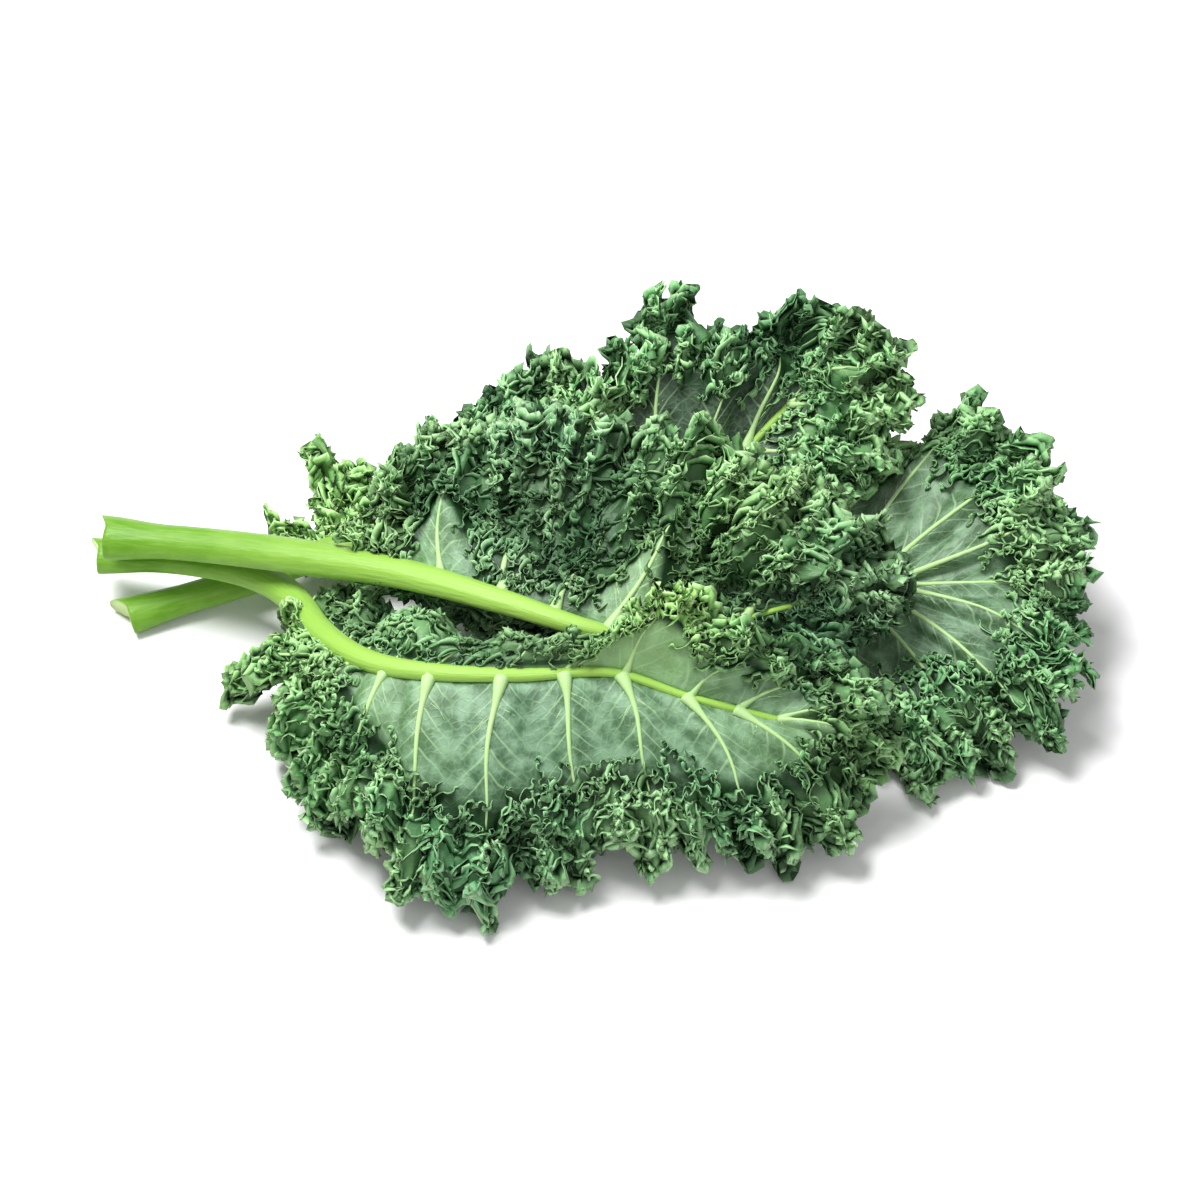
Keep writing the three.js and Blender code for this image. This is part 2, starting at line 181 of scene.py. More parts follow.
def flatSheet(form, rib, reach):  # the leaf before it ruffles, for arrays of rib place and reach
    lobes = form["lobes"]
    shares = [l[0] for l in lobes] + [1.0] + [l[0] for l in lobes][::-1]
    tips = [l[1] for l in lobes] + [form["tip"]] + [l[2] for l in lobes][::-1]
    arches = [form["arch"][0]] * len(lobes) + [2] + [form["arch"][1]] * len(lobes)
    last = len(tips) - 1
    share = np.interp(rib, np.arange(last + 1), shares)
    place, _, side, out = midribFrame(form, share)
    left = (rib < len(lobes)) * 2.0 - 1.0
    thick = stalkRadiusAt(form, share)
    root = place - out * (0.25 * thick)[..., None] + side * (left * 0.35 * thick * (share < 0.999))[..., None]
    tip = curveAt(tips, rib / last)
    arch = curveAt([(a,) for a in arches], rib / last)
    middle = (root + tip) / 2 + np.array([0, 0, 2.0]) * arch
    r = reach[..., None]
    return (1 - r) ** 2 * root + 2 * r * (1 - r) * middle + r ** 2 * tip


def fieldNoise(rng, x, y):  # smooth random field over unit squares, -1 to 1
    x, y = x - x.min(), y - y.min()
    grid = rng.uniform(-1, 1, (int(x.max()) + 2, int(y.max()) + 2))
    i, j = x.astype(int), y.astype(int)
    u, w = smoothStep(0, 1, x - i), smoothStep(0, 1, y - j)
    near = grid[i, j] * (1 - u) + grid[i + 1, j] * u
    far = grid[i, j + 1] * (1 - u) + grid[i + 1, j + 1] * u
    return near * (1 - w) + far * w


def sheetNormal(points):
    return unit(np.cross(unit(np.gradient(points, axis=1)), unit(np.gradient(points, axis=0))))


def addRuffles(points, v, ruffle, flat, share, rng):
    across = np.linspace(0, 1, points.shape[1])
    outward, along = unit(np.gradient(points, axis=0)), unit(np.gradient(points, axis=1))
    travel = travelAlong(points[-1])
    knots = max(8, int(travel[-1] / ruffle["wave"]))
    turn = 2 * np.pi * (travel / ruffle["wave"] + slowNoise(rng, knots, across, 0.35))
    turn = turn[None, :] + ruffle["bend"] * (1 - v) * slowNoise(rng, knots * 2, across, 2.4)[None, :]
    begin = flat * (1 - ruffle["late"]) + ruffle["late"] - 0.12
    growth = smoothStep(0, 0.45 * (1 - 0.6 * ruffle["late"]), v - begin[None, :])
    size = growth * (1 + slowNoise(rng, knots * 2, across, 0.4))[None, :] * share
    wave = np.sin(turn)
    points = points + sheetNormal(points) * (ruffle["height"] * size * wave)[..., None]
    points = points + along * (ruffle["sway"] * size * np.sin(2 * turn))[..., None]
    return points - outward * (ruffle["pull"] * size * growth * wave ** 2)[..., None]


def aboveFloor(points, lowest=0.4, begin=3):  # heights under begin are pressed together, down to lowest
    low, span = points[..., 2], begin - lowest
    points[..., 2] = np.where(low < begin, lowest + span * np.exp((np.minimum(low, begin) - begin) / span), low)
    return points


def ruffledSheet(form, settings):
    rng = np.random.default_rng(form["seed"])
    last = 2 * len(form["lobes"])
    dense = np.linspace(0, last, 6001)
    travel = travelAlong(flatSheet(form, dense, np.ones_like(dense)))
    arc = np.linspace(0, travel[-1], settings["columns"] + 1)
    along = np.interp(arc, travel, dense)
    across = arc / arc[-1]
    v = np.array([row[0] for row in settings["rows"]])[:, None]
    rib = np.broadcast_to(along[None, :], (len(v), len(along)))
    between = 0.5 - 0.5 * np.cos(2 * np.pi * rib)
    turn = 2 * np.pi * arc / settings["subNotchWave"] + slowNoise(rng, 40, across, 2.5)
    cut = settings["subNotch"] * (0.5 - 0.5 * np.cos(turn))
    cut = cut * (1 + slowNoise(rng, 60, across, 0.6))
    reach = v * (1 - settings["lobeNotch"] * between ** 2 * v - cut[None, :] * smoothStep(0.3, 1, v))
    for notch, depth, wide in form["notches"]:
        reach = reach * (1 - depth * smoothStep(0.1, 1, v) * np.exp(-((rib - notch) / wide) ** 2))
    points = flatSheet(form, rib, reach)
    root = flatSheet(form, along, along * 0)
    length = np.linalg.norm(flatSheet(form, along, along * 0 + 1) - root, axis=1)
    normal = unit(np.cross(np.gradient(points, axis=0), np.gradient(points, axis=1)))
    pillow = settings["pillow"] * np.sin(np.pi * np.clip(v / 0.8, 0, 1)) * np.clip(length / 60, 0, 1)
    swell = pillow * (between - 0.5 + 0.3 * np.sin(4 * np.pi * rib + 9 * v))
    points = points + normal * swell[..., None]
    short = np.clip(length / 45, 0.35, 1)[None, :]
    flat = np.interp(along, *form["flat"])
    growth = smoothStep(-0.05, 0.3, v - flat[None, :]) * short
    smooth, normal = points, sheetNormal(points)
    for size, height in settings["lumps"]:
        lump = fieldNoise(rng, smooth[..., 0] / size, (smooth[..., 1] + 0.7 * smooth[..., 2]) / size)
        points = points + normal * (height * growth * lump)[..., None]
    for ruffle in settings["ruffles"]:
        points = addRuffles(points, v, ruffle, flat, short, rng)
        short = short ** 0.5
    crest = smoothStep(*settings["crest"], ((points - smooth) * normal).sum(-1))  # 0 in a hollow, 1 on a crest
    return {"points": aboveFloor(points), "along": along, "v": v[:, 0], "length": length, "arc": arc,
            "crest": crest}


def frillPlaces(form, sheet, settings, rng):  # centre along the edge, gap to the edge, direction
    places = []
    for tier in range(20):
        dense = tier < settings["denseTiers"]
        spacing = settings["spacing"] * (0.62 if dense else 1)
        for centre in np.arange(rng.uniform(2, spacing), sheet["arc"][-1], spacing):
            centre = centre + rng.uniform(-3, 3)
            rib = np.interp(centre, sheet["arc"], sheet["along"])
            long = np.interp(centre, sheet["arc"], sheet["length"])
            gap = 1.0 + tier * settings["tier"] * (0.8 if dense else 1) + rng.uniform(-2, 2)
            if gap < max(long * (1 - np.interp(rib, *form["flat"])) - 2 + rng.uniform(-5, 7), 7):
                places.append((centre, gap, rng.uniform(-1, 1) * settings["turn"]))
    return np.array(places)


def makeFrills(name, form, sheet, settings):
    rng = np.random.default_rng(form["seed"] + 9)
    places = frillPlaces(form, sheet, settings, rng)
    count, columns = len(places), settings["columns"] + 1
    centre, gap, angle = (places[:, k][:, None] for k in range(3))
    s = np.linspace(-0.5, 0.5, columns)[None, :]
    long = settings["length"] * rng.uniform(*settings["lengthRange"], (count, 1))
    phase = rng.uniform(0, 6.28, (count, 1))
    arc = centre + s * long * np.cos(angle) + 1.4 * np.sin(6.5 * s + phase)
    gap = gap + s * long * np.sin(angle) + 2.0 * np.sin(9 * s + 2 * phase)
    rib = np.interp(arc, sheet["arc"], sheet["along"])
    size = np.interp(arc, sheet["arc"], sheet["length"])
    reach = np.clip(1 - gap / np.maximum(size, 8), 0.06, 0.985)
    root, up = sheetPath(sheet, rib.ravel(), reach.ravel())
    inner = sheetPath(sheet, rib.ravel(), reach.ravel() - 0.05)[0]
    root, up, inner = (grid.reshape(count, columns, 3) for grid in (root, up, inner))
    up = unit(up + 0.8 * up.mean(1, keepdims=True) + np.array([0, 0, 0.25]))
    out, path = unit(root - inner), unit(np.gradient(root, axis=1))
    side = unit(np.cross(path, up))
    t = np.array(settings["rows"])[None, :, None]
    lean = rng.uniform(*settings["leanRange"], (count, 1)) + 0.4 * np.sin(7 * s + phase)
    lean = (lean + settings["edgeLean"] * np.exp(-np.clip(gap, 0, 60) / 7))[:, None]  # outwards near the edge
    taper = np.sin(np.pi * (s + 0.5)) ** 0.4
    high = settings["height"] * rng.uniform(*settings["heightRange"], (count, 1)) * np.clip(size / 40, 0.6, 1)
    high = high * (0.15 + 0.85 * taper)
    high = high * (1 - 0.3 * np.clip(gap / 45, 0, 1))
    turn = (2 * np.pi * s * long / settings["wave"] + phase + 1.3 * np.sin(11 * s + 2 * phase))[:, None]
    grow = t ** 1.1 * taper[:, None]
    sway = settings["sway"] * np.sin(turn) * grow * (1 + 0.3 * np.sin(17 * s + phase))[:, None]
    roll = -settings["roll"] * np.sin(2 * turn) * grow
    rise = high[:, None] * t * (1 + 0.15 * np.cos(2 * turn + phase[:, None]))
    parts = (root[:, None], up[:, None], out[:, None], side[:, None], path[:, None])
    base, up, out, side, path = (np.broadcast_to(part, (count, t.shape[1], columns, 3)) for part in parts)
    front = base - up * settings["sink"] + up * (rise * np.cos(lean * t))[..., None]
    front = front + out * (rise * np.sin(lean * t))[..., None]
    front = aboveFloor(front + side * sway[..., None] + path * roll[..., None])
    inside = np.zeros(front.shape[:3], bool)  # front and back part only inside the rim
    inside[:, 1:-1, 1:-1] = True
    normal = unit(np.cross(np.gradient(front, axis=2), np.gradient(front, axis=1)))
    backIndex = np.arange(inside.size).reshape(inside.shape)
    backIndex[inside] = inside.size + np.arange(inside.sum())
    a, b, c, d = np.s_[:, :-1, :-1], np.s_[:, :-1, 1:], np.s_[:, 1:, 1:], np.s_[:, 1:, :-1]
    frontIndex = np.arange(inside.size).reshape(inside.shape)
    faces = np.vstack([np.stack([frontIndex[k] for k in (a, b, c, d)], -1).reshape(-1, 4),
                       np.stack([backIndex[k] for k in (d, c, b, a)], -1).reshape(-1, 4)])
    points = np.vstack([front.reshape(-1, 3), (front + normal * settings["thickness"])[inside]])

    def twice(grid):  # a value for the front, then for the back
        grid = np.broadcast_to(grid, inside.shape)
        return np.concatenate([grid.ravel(), grid[inside]])

    place = np.stack([twice(rib[:, None]), twice((reach * size)[:, None]), twice(reach[:, None])], -1)
    young = np.interp(rib, *form["young"])[:, None]
    # Painted shade: a frill's colour darkens towards its root and where it stands in a hollow of the sheet, and
    # its rim's painted light is dimmed there; young parts count as crests and get no painted shade.
    crest = crestAt(sheet, rib, reach)[:, None] * np.clip(size / 50, 0.4, 1)[:, None]
    crest = np.maximum(crest, smoothStep(0.3, 0.8, young))
    light = 0.35 + 0.65 * smoothStep(0.2, 1.0, t) * (0.4 + 0.6 * crest)
    edge = t * (0.84 + 0.16 * crest)
    values = {"leafPlace": place, "curl": twice(light), "edge": twice(edge), "young": twice(young)}
    piece = meshObject("blade_" + name + "_frills", points, faces.tolist(), values)
    finishPiece(piece, "blade_" + name, leafFinish(name + " frills"))
    print("frills", name, count, "of them,", len(faces) * 2, "triangles")


def stripFaces(settings):  # few columns near the midrib, twice as many at each change of step
    rows = settings["rows"]
    wide = settings["columns"] + 1
    faces = []
    for r in range(len(rows) - 1):
        coarse, fine = rows[r][1], rows[r + 1][1]
        j = np.arange(0, settings["columns"], coarse)
        a, b = r * wide + j, r * wide + j + coarse
        c, d = a + wide, b + wide
        if coarse == fine:
            even = ((j // coarse + r) % 2 == 0)[:, None]
            faces.append(np.where(even, np.stack([a, b, d], 1), np.stack([a, b, c], 1)))
            faces.append(np.where(even, np.stack([a, d, c], 1), np.stack([b, d, c], 1)))
        else:
            m = c + fine
            faces.append(np.stack([a, m, c], 1))
            faces.append(np.stack([a, b, m], 1))
            faces.append(np.stack([b, d, m], 1))
    return np.vstack(faces)


def meshObject(name, points, faces, values):  # points in millimetres, values by name for each point
    mesh = bpy.data.meshes.new(name)
    mesh.from_pydata(((points + bunchShift) / 1000).tolist(), [], faces)
    for label, value in values.items():
        flat = value.ndim == 1
        layer = mesh.attributes.new(label, "FLOAT" if flat else "FLOAT_VECTOR", "POINT")
        layer.data.foreach_set("value" if flat else "vector", value.astype(np.float32).ravel())
    piece = bpy.data.objects.new(name, mesh)
    bpy.context.collection.objects.link(piece)
    bpy.ops.object.select_all(action="DESELECT")
    piece.select_set(True)
    bpy.context.view_layer.objects.active = piece
    return piece


def triangleCount(piece):
    return sum(len(face.vertices) - 2 for face in piece.data.polygons)


def finishPiece(piece, node, material):
    bpy.ops.object.shade_smooth()
    piece.data.materials.append(material)
    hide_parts(node)
    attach(piece, "root")


def makeBlade(name, form, settings):
    sheet = ruffledSheet(form, settings)
    shape = sheet["points"].shape[:2]
    faces = stripFaces(settings)
    used = np.unique(faces)
    renumber = np.zeros(shape[0] * shape[1], int)
    renumber[used] = np.arange(len(used))
    down = np.broadcast_to(sheet["v"][:, None], shape)
    ribs = np.broadcast_to(sheet["along"][None, :], shape)
    place = np.stack([ribs, down * sheet["length"][None, :], down], axis=-1)
    flat = np.interp(sheet["along"], *form["flat"])[None, :]
    past = down - flat
    # The curled band takes the curled colour, with painted shade for the hollows under the frills, less of it
    # on the sheet's crests.
    curl = 0.3 * smoothStep(-0.06, 0.12, past) + smoothStep(0.04, 0.2, past) * (0.24 + 0.1 * sheet["crest"])
    curl = curl.ravel()[used]
    young = np.interp(place[..., 0].ravel()[used], *form["young"])
    down = down.ravel()[used]
    values = {"leafPlace": place.reshape(-1, 3)[used], "curl": curl, "edge": smoothStep(0.94, 1.0, down),
              "young": young}
    points = sheet["points"].reshape(-1, 3)[used]
    piece = meshObject("blade_" + name + "_leaf", points, renumber[faces].tolist(), values)
    bpy.ops.object.mode_set(mode="EDIT")
    bpy.ops.mesh.select_all(action="SELECT")
    bpy.ops.mesh.remove_doubles(threshold=1e-6)
    bpy.ops.object.mode_set(mode="OBJECT")
    bpy.ops.object.modifier_add(type="SOLIDIFY")
    wall = piece.modifiers[-1]
    wall.thickness = settings["thickness"] / 1000
    wall.offset = 0
    bpy.ops.object.modifier_apply(modifier=wall.name)
    finishPiece(piece, "blade_" + name, leafFinish(name))
    print("blade", name, triangleCount(piece), "triangles")
    return sheet


# Stalk: petiole and midrib as one long taper, side veins and their twigs laid on the blade.
stalkSettings = {
    "sides": 32, "rings": 160, "flare": 1.28, "flareLength": 26, "ridges": 7, "ridgeDepth": 0.016,
    "veinSides": 8, "veinRadius": 1.25, "shortestVein": 16, "twigSides": 4, "twigRadius": 0.26, "twigs": 3,
    "cutTravel": -2.0, "veinTravel": 400.0,  # stand for the cut end and the side veins in the colours
}


def tubeFaces(rings, sides, start):
    r, n = np.meshgrid(np.arange(rings - 1), np.arange(sides), indexing="ij")
    a = start + r * sides + n
    b = start + r * sides + (n + 1) % sides
    first, end = start + rings * sides, start + (rings - 1) * sides
    caps = [[first, start + (k + 1) % sides, start + k] for k in range(sides)]
    caps += [[first + 1, end + k, end + (k + 1) % sides] for k in range(sides)]
    return np.stack([a, b, b + sides, a + sides], -1).reshape(-1, 4).tolist() + caps


def tubeAlong(path, radius, normals, sides, flatten, start):
    along = unit(np.gradient(path, axis=0))
    side = unit(np.cross(normals, along))
    out = np.cross(along, side)
    angle = np.arange(sides) / sides * 2 * np.pi
    wide, high = np.cos(angle)[None, :] * radius[:, None], np.sin(angle)[None, :] * radius[:, None] * flatten
    ring = path[:, None] + side[:, None] * wide[..., None] + out[:, None] * high[..., None]
    return np.vstack([ring.reshape(-1, 3), path[:1], path[-1:]]), tubeFaces(len(path), sides, start)


def midribTube(form, settings):
    rings, sides = settings["rings"], settings["sides"]
    share = np.linspace(0, 1, rings) ** 1.05
    place, along, side, out = midribFrame(form, share)
    travel = travelAlong(place)
    flare = 1 + (settings["flare"] - 1) * (1 - smoothStep(0, settings["flareLength"], travel))
    radius = (stalkRadiusAt(form, share) * flare)[:, None]
    angle = ((np.arange(sides) + 0.5) / sides * 2 * np.pi)[None, :]
    x, y = np.cos(angle), np.sin(angle)
    depth = np.where(y > 0, 0.86, 0.72 - 0.22 * (1 - np.abs(x)))
    wobble = 1 + settings["ridgeDepth"] * np.sin(settings["ridges"] * angle + form["seed"]) \
        + 0.012 * np.sin(travel[:, None] / 17 + 3 * np.sin(angle + form["seed"]))
    ring = place[:, None] + side[:, None] * (x * radius * wobble)[..., None] \
        + out[:, None] * (y * depth * radius * wobble)[..., None]
    notch = (5 * (1 - np.abs(x)) * np.where(y > 0, 0.6, 1) - 3 * x) * (1 - smoothStep(0, 7, travel))[:, None]
    ring = ring + along[:, None] * notch[..., None]
    centre = ring[0].mean(0) + along[0] * 1.2
    points = np.vstack([ring.reshape(-1, 3), centre[None], place[-1:]])
    around = np.concatenate([np.tile(np.arange(sides) * 2 * math.pi / sides, rings), [0, 0]])
    points[:, 2] = np.maximum(points[:, 2], 0)
    travel = np.concatenate([np.repeat(travel, sides), [settings["cutTravel"], travel[-1]]])
    return points, tubeFaces(rings, sides, 0), travel, np.cos(around)


def sheetPlace(sheet, ribs, reaches):  # column and row in the sheet's grid, with fractions
    along, v = sheet["along"], sheet["v"]
    return np.interp(ribs, along, np.arange(len(along))), np.interp(reaches, v, np.arange(len(v)))


def crestAt(sheet, ribs, reaches):  # how far up a crest of the sheet each place is, from its nearest point
    column, row = sheetPlace(sheet, ribs, reaches)
    return sheet["crest"][np.rint(row).astype(int), np.rint(column).astype(int)]


def sheetPath(sheet, ribs, reaches):  # a line drawn on the ruffled blade, with its normals
    points, along, v = sheet["points"], sheet["along"], sheet["v"]
    column, row = sheetPlace(sheet, ribs, reaches)
    c, r = np.minimum(column.astype(int), len(along) - 2), np.minimum(row.astype(int), len(v) - 2)
    fc, fr = (column - c)[:, None], (row - r)[:, None]
    near = points[r, c] * (1 - fc) + points[r, c + 1] * fc
    far = points[r + 1, c] * (1 - fc) + points[r + 1, c + 1] * fc
    ahead = points[r + 1, np.minimum(c + 6, len(along) - 1)] - points[r + 1, np.maximum(c - 6, 0)]
    normal = unit(np.cross(ahead, far - near))
    return near * (1 - fr) + far * fr, normal


def makeStalk(name, form, settings, sheet):
    body, faces, travel, around = midribTube(form, settings)
    parts, travels = [body], [travel]
    rng = np.random.default_rng(form["seed"] + 5)
    last = 2 * len(form["lobes"])

    def addVein(ribs, reaches, radius, sides):
        path, normal = sheetPath(sheet, ribs, reaches)
        path = path + normal * (radius * 0.35)[:, None]
        tube, tubeQuads = tubeAlong(path, radius, normal, sides, 0.8, sum(len(p) for p in parts))
        parts.append(tube)
        travels.append(np.full(len(tube), settings["veinTravel"]))
        faces.extend(tubeQuads)

    for rib in range(last + 1):
        ends = sheetPath(sheet, np.array([rib, rib]) * 1.0, np.array([0.0, 1.0]))[0]
        long = np.linalg.norm(ends[1] - ends[0])
        if long < settings["shortestVein"]:
            continue
        size = np.clip(long / 60, 0.45, 1.15)
        t = np.linspace(0, 1, 30)
        reach = t * form["veins"]
        wander = np.clip(rib + 0.05 * np.sin(5 * t + rib), 0, last)
        radius = settings["veinRadius"] * size * (1 - 0.8 * t ** 0.8) * (2.1 - 1.1 * smoothStep(0, 0.26, t))
        radius = radius + 0.08
        addVein(wander, reach, radius, settings["veinSides"])
        for twig in range(settings["twigs"] * 2):
            way = 1 if twig % 2 else -1
            begin = 0.12 + 0.065 * twig + rng.uniform(-0.02, 0.02)
            s = np.linspace(0, 1, 11)
            twigRib = np.interp(begin, reach, wander) + way * 0.44 * s ** 0.85 + 0.02 * np.sin(9 * s + twig)
            if twigRib.min() < 0 or twigRib.max() > last:
                continue
            twigRadius = settings["twigRadius"] * size * (1 - 0.75 * s) * (1 - 0.06 * twig)
            addVein(twigRib, begin + (0.12 + 0.05 * rng.uniform()) * s, twigRadius, settings["twigSides"])
    points = np.vstack(parts)
    around = np.concatenate([around, np.zeros(len(points) - len(around))])
    values = {"travel": np.concatenate(travels), "around": around}
    piece = meshObject("stalk_" + name + "_fine", points, faces, values)
    finishPiece(piece, "stalk_" + name, stalkFinish(name))
    print("stalk", name, triangleCount(piece), "triangles")


def addNode(tree, kind, place, **inputs):
    node = tree.nodes.new(kind)
    node.location = place
    for label, value in inputs.items():
        if label in node.inputs:
            node.inputs[label].default_value = value
        else:
            setattr(node, label, value)
    return node


def feed(tree, socket, value):  # a link from another socket, or a plain value
    if isinstance(value, bpy.types.NodeSocket):
        tree.links.new(value, socket)
    else:
        socket.default_value = value


def mixColour(tree, place, factor, first, second):
    node = addNode(tree, "ShaderNodeMix", place, data_type="RGBA")
    for socket, value in ((node.inputs[0], factor), (node.inputs[6], first), (node.inputs[7], second)):
        feed(tree, socket, value)
    return node.outputs[2]


def mathNode(tree, place, operation, *values):
    node = addNode(tree, "ShaderNodeMath", place, operation=operation)
    for socket, value in zip(node.inputs, values):
        feed(tree, socket, value)
    return node.outputs[0]


def rangeNode(tree, place, value, low, high, first=0.0, second=1.0):
    node = addNode(tree, "ShaderNodeMapRange", place, interpolation_type="SMOOTHSTEP")
    for socket, number in zip(node.inputs[:5], (value, low, high, first, second)):
        feed(tree, socket, number)
    return node.outputs[0]


def finishSurface(tree, shader, height, surface):
    shader.inputs["Roughness"].default_value = surface["roughness"]
    shader.inputs["Specular IOR Level"].default_value = surface["specular"]
    bump = addNode(tree, "ShaderNodeBump", (-200, -400))
    bump.inputs["Strength"].default_value = surface["bump"]
    bump.inputs["Distance"].default_value = surface["bumpDistance"]
    tree.links.new(height, bump.inputs["Height"])
    tree.links.new(bump.outputs[0], shader.inputs["Normal"])


def newMaterial(name):
    material = bpy.data.materials.new(name)
    material.use_nodes = True
    tree = material.node_tree
    shader = tree.nodes["Principled BSDF"]
    return material, tree, shader


# The darkest green is painted shade for the hollows among the curls and the roots of the frills. The rim
# colours are the margin's own paler green, with painted light for light shining through the thin rims.
leafColours = {
    "bloom": (0.19, 0.33, 0.205, 1), "bloomDark": (0.042, 0.108, 0.048, 1), "vein": (0.37, 0.57, 0.31, 1),
    "paintedShade": (0.007, 0.04, 0.008, 1), "curl": (0.33, 0.61, 0.28, 1), "curlDark": (0.14, 0.39, 0.17, 1),
    "edge": (0.43, 0.62, 0.36, 1), "youngEdge": (0.60, 0.86, 0.36, 1),
    "young": (0.26, 0.54, 0.08, 1), "youngFlat": (0.28, 0.48, 0.18, 1),
}
leafShadeTones = {"back": 0.33, "right": 0.78}  # painted shade: how far the flat part of a leaf is darkened for the shade it lies in, where that isn't 1
curlLightTones = {"back": 1.25, "right": 1.25, "front": 1.15}  # painted light: how far its curls are lightened, with less painted shade in their hollows
leafSurface = {
    "roughness": 0.48, "specular": 0.34, "bump": 0.3, "bumpDistance": 0.0003, "net": 0.1, "branches": 0.5,
    "patchScale": 30.0, "cloudScale": 140.0, "patch": (0.36, 0.64), "cloud": (0.34, 0.68),
    "rim": (0.78, 1.0), "hollow": (0.43, 0.92), "past": (0.0, 0.3),  # ranges of "edge" and of "curl": the rim range sets the rims' painted light, the hollow range the painted shade among the curls
}

# Fine veins: branches that slant off each rib, and a net of cells. Slant, wander and spacing are in
# millimetres from the midrib, cellWander in metres.
veinNet = {"slant": -34.0, "wander": 12.0, "spacing": 8.5, "wanderScale": 45.0, "cellScale": 300.0,
           "cellWander": 0.004}


def makeVeinGroup(settings):  # masks from the leaf's own places: rib number, millimetres from the midrib
    group = bpy.data.node_groups.new("leaf veins", "ShaderNodeTree")
    for label in ("Place", "Point"):
        group.interface.new_socket(label, in_out="INPUT", socket_type="NodeSocketVector")
    for label in ("Branches", "Net"):
        group.interface.new_socket(label, in_out="OUTPUT", socket_type="NodeSocketFloat")
    start = addNode(group, "NodeGroupInput", (-1400, 0))
    end = addNode(group, "NodeGroupOutput", (600, 0))
    split = addNode(group, "ShaderNodeSeparateXYZ", (-1200, 100))
    group.links.new(start.outputs["Place"], split.inputs[0])
    wander = addNode(group, "ShaderNodeTexNoise", (-1200, -200), Scale=settings["wanderScale"], Detail=2.0)
    group.links.new(start.outputs["Point"], wander.inputs["Vector"])
    rib = mathNode(group, (-1000, 200), "ADD", split.outputs[0], 0.5)
    rib = mathNode(group, (-950, 200), "FRACT", rib)
    offRib = mathNode(group, (-900, 200), "SUBTRACT", rib, 0.5)
    offRib = mathNode(group, (-800, 200), "ABSOLUTE", offRib)
    slant = mathNode(group, (-600, 100), "MULTIPLY_ADD", offRib, settings["slant"], split.outputs[1])
    slant = mathNode(group, (-500, 100), "MULTIPLY_ADD", wander.outputs[0], settings["wander"], slant)
    beat = mathNode(group, (-450, 100), "DIVIDE", slant, settings["spacing"])
    beat = mathNode(group, (-400, 100), "FRACT", beat)
    line = mathNode(group, (-200, 100), "ABSOLUTE", mathNode(group, (-300, 100), "SUBTRACT", beat, 0.5))
    branches = rangeNode(group, (0, 100), line, 0.01, 0.11, 1.0, 0.0)
    fade = rangeNode(group, (0, -60), offRib, 0.12, 0.48, 1.0, 0.15)
    group.links.new(mathNode(group, (200, 100), "MULTIPLY", branches, fade), end.inputs["Branches"])
    bend = addNode(group, "ShaderNodeVectorMath", (-900, -300), operation="MULTIPLY_ADD")
    group.links.new(wander.outputs["Color"], bend.inputs[0])
    bend.inputs[1].default_value = (settings["cellWander"],) * 3
    group.links.new(start.outputs["Point"], bend.inputs[2])
    cells = addNode(group, "ShaderNodeTexVoronoi", (-600, -300), feature="DISTANCE_TO_EDGE",
                    Scale=settings["cellScale"])
    group.links.new(bend.outputs[0], cells.inputs["Vector"])
    net = rangeNode(group, (-300, -300), cells.outputs[0], 0.0, 0.16, 1.0, 0.0)
    group.links.new(net, end.inputs["Net"])
    return group


veinGroup = makeVeinGroup(veinNet)


def toned(label, paintedLightLevel):
    return tuple(part * paintedLightLevel for part in leafColours[label][:3]) + (1,)


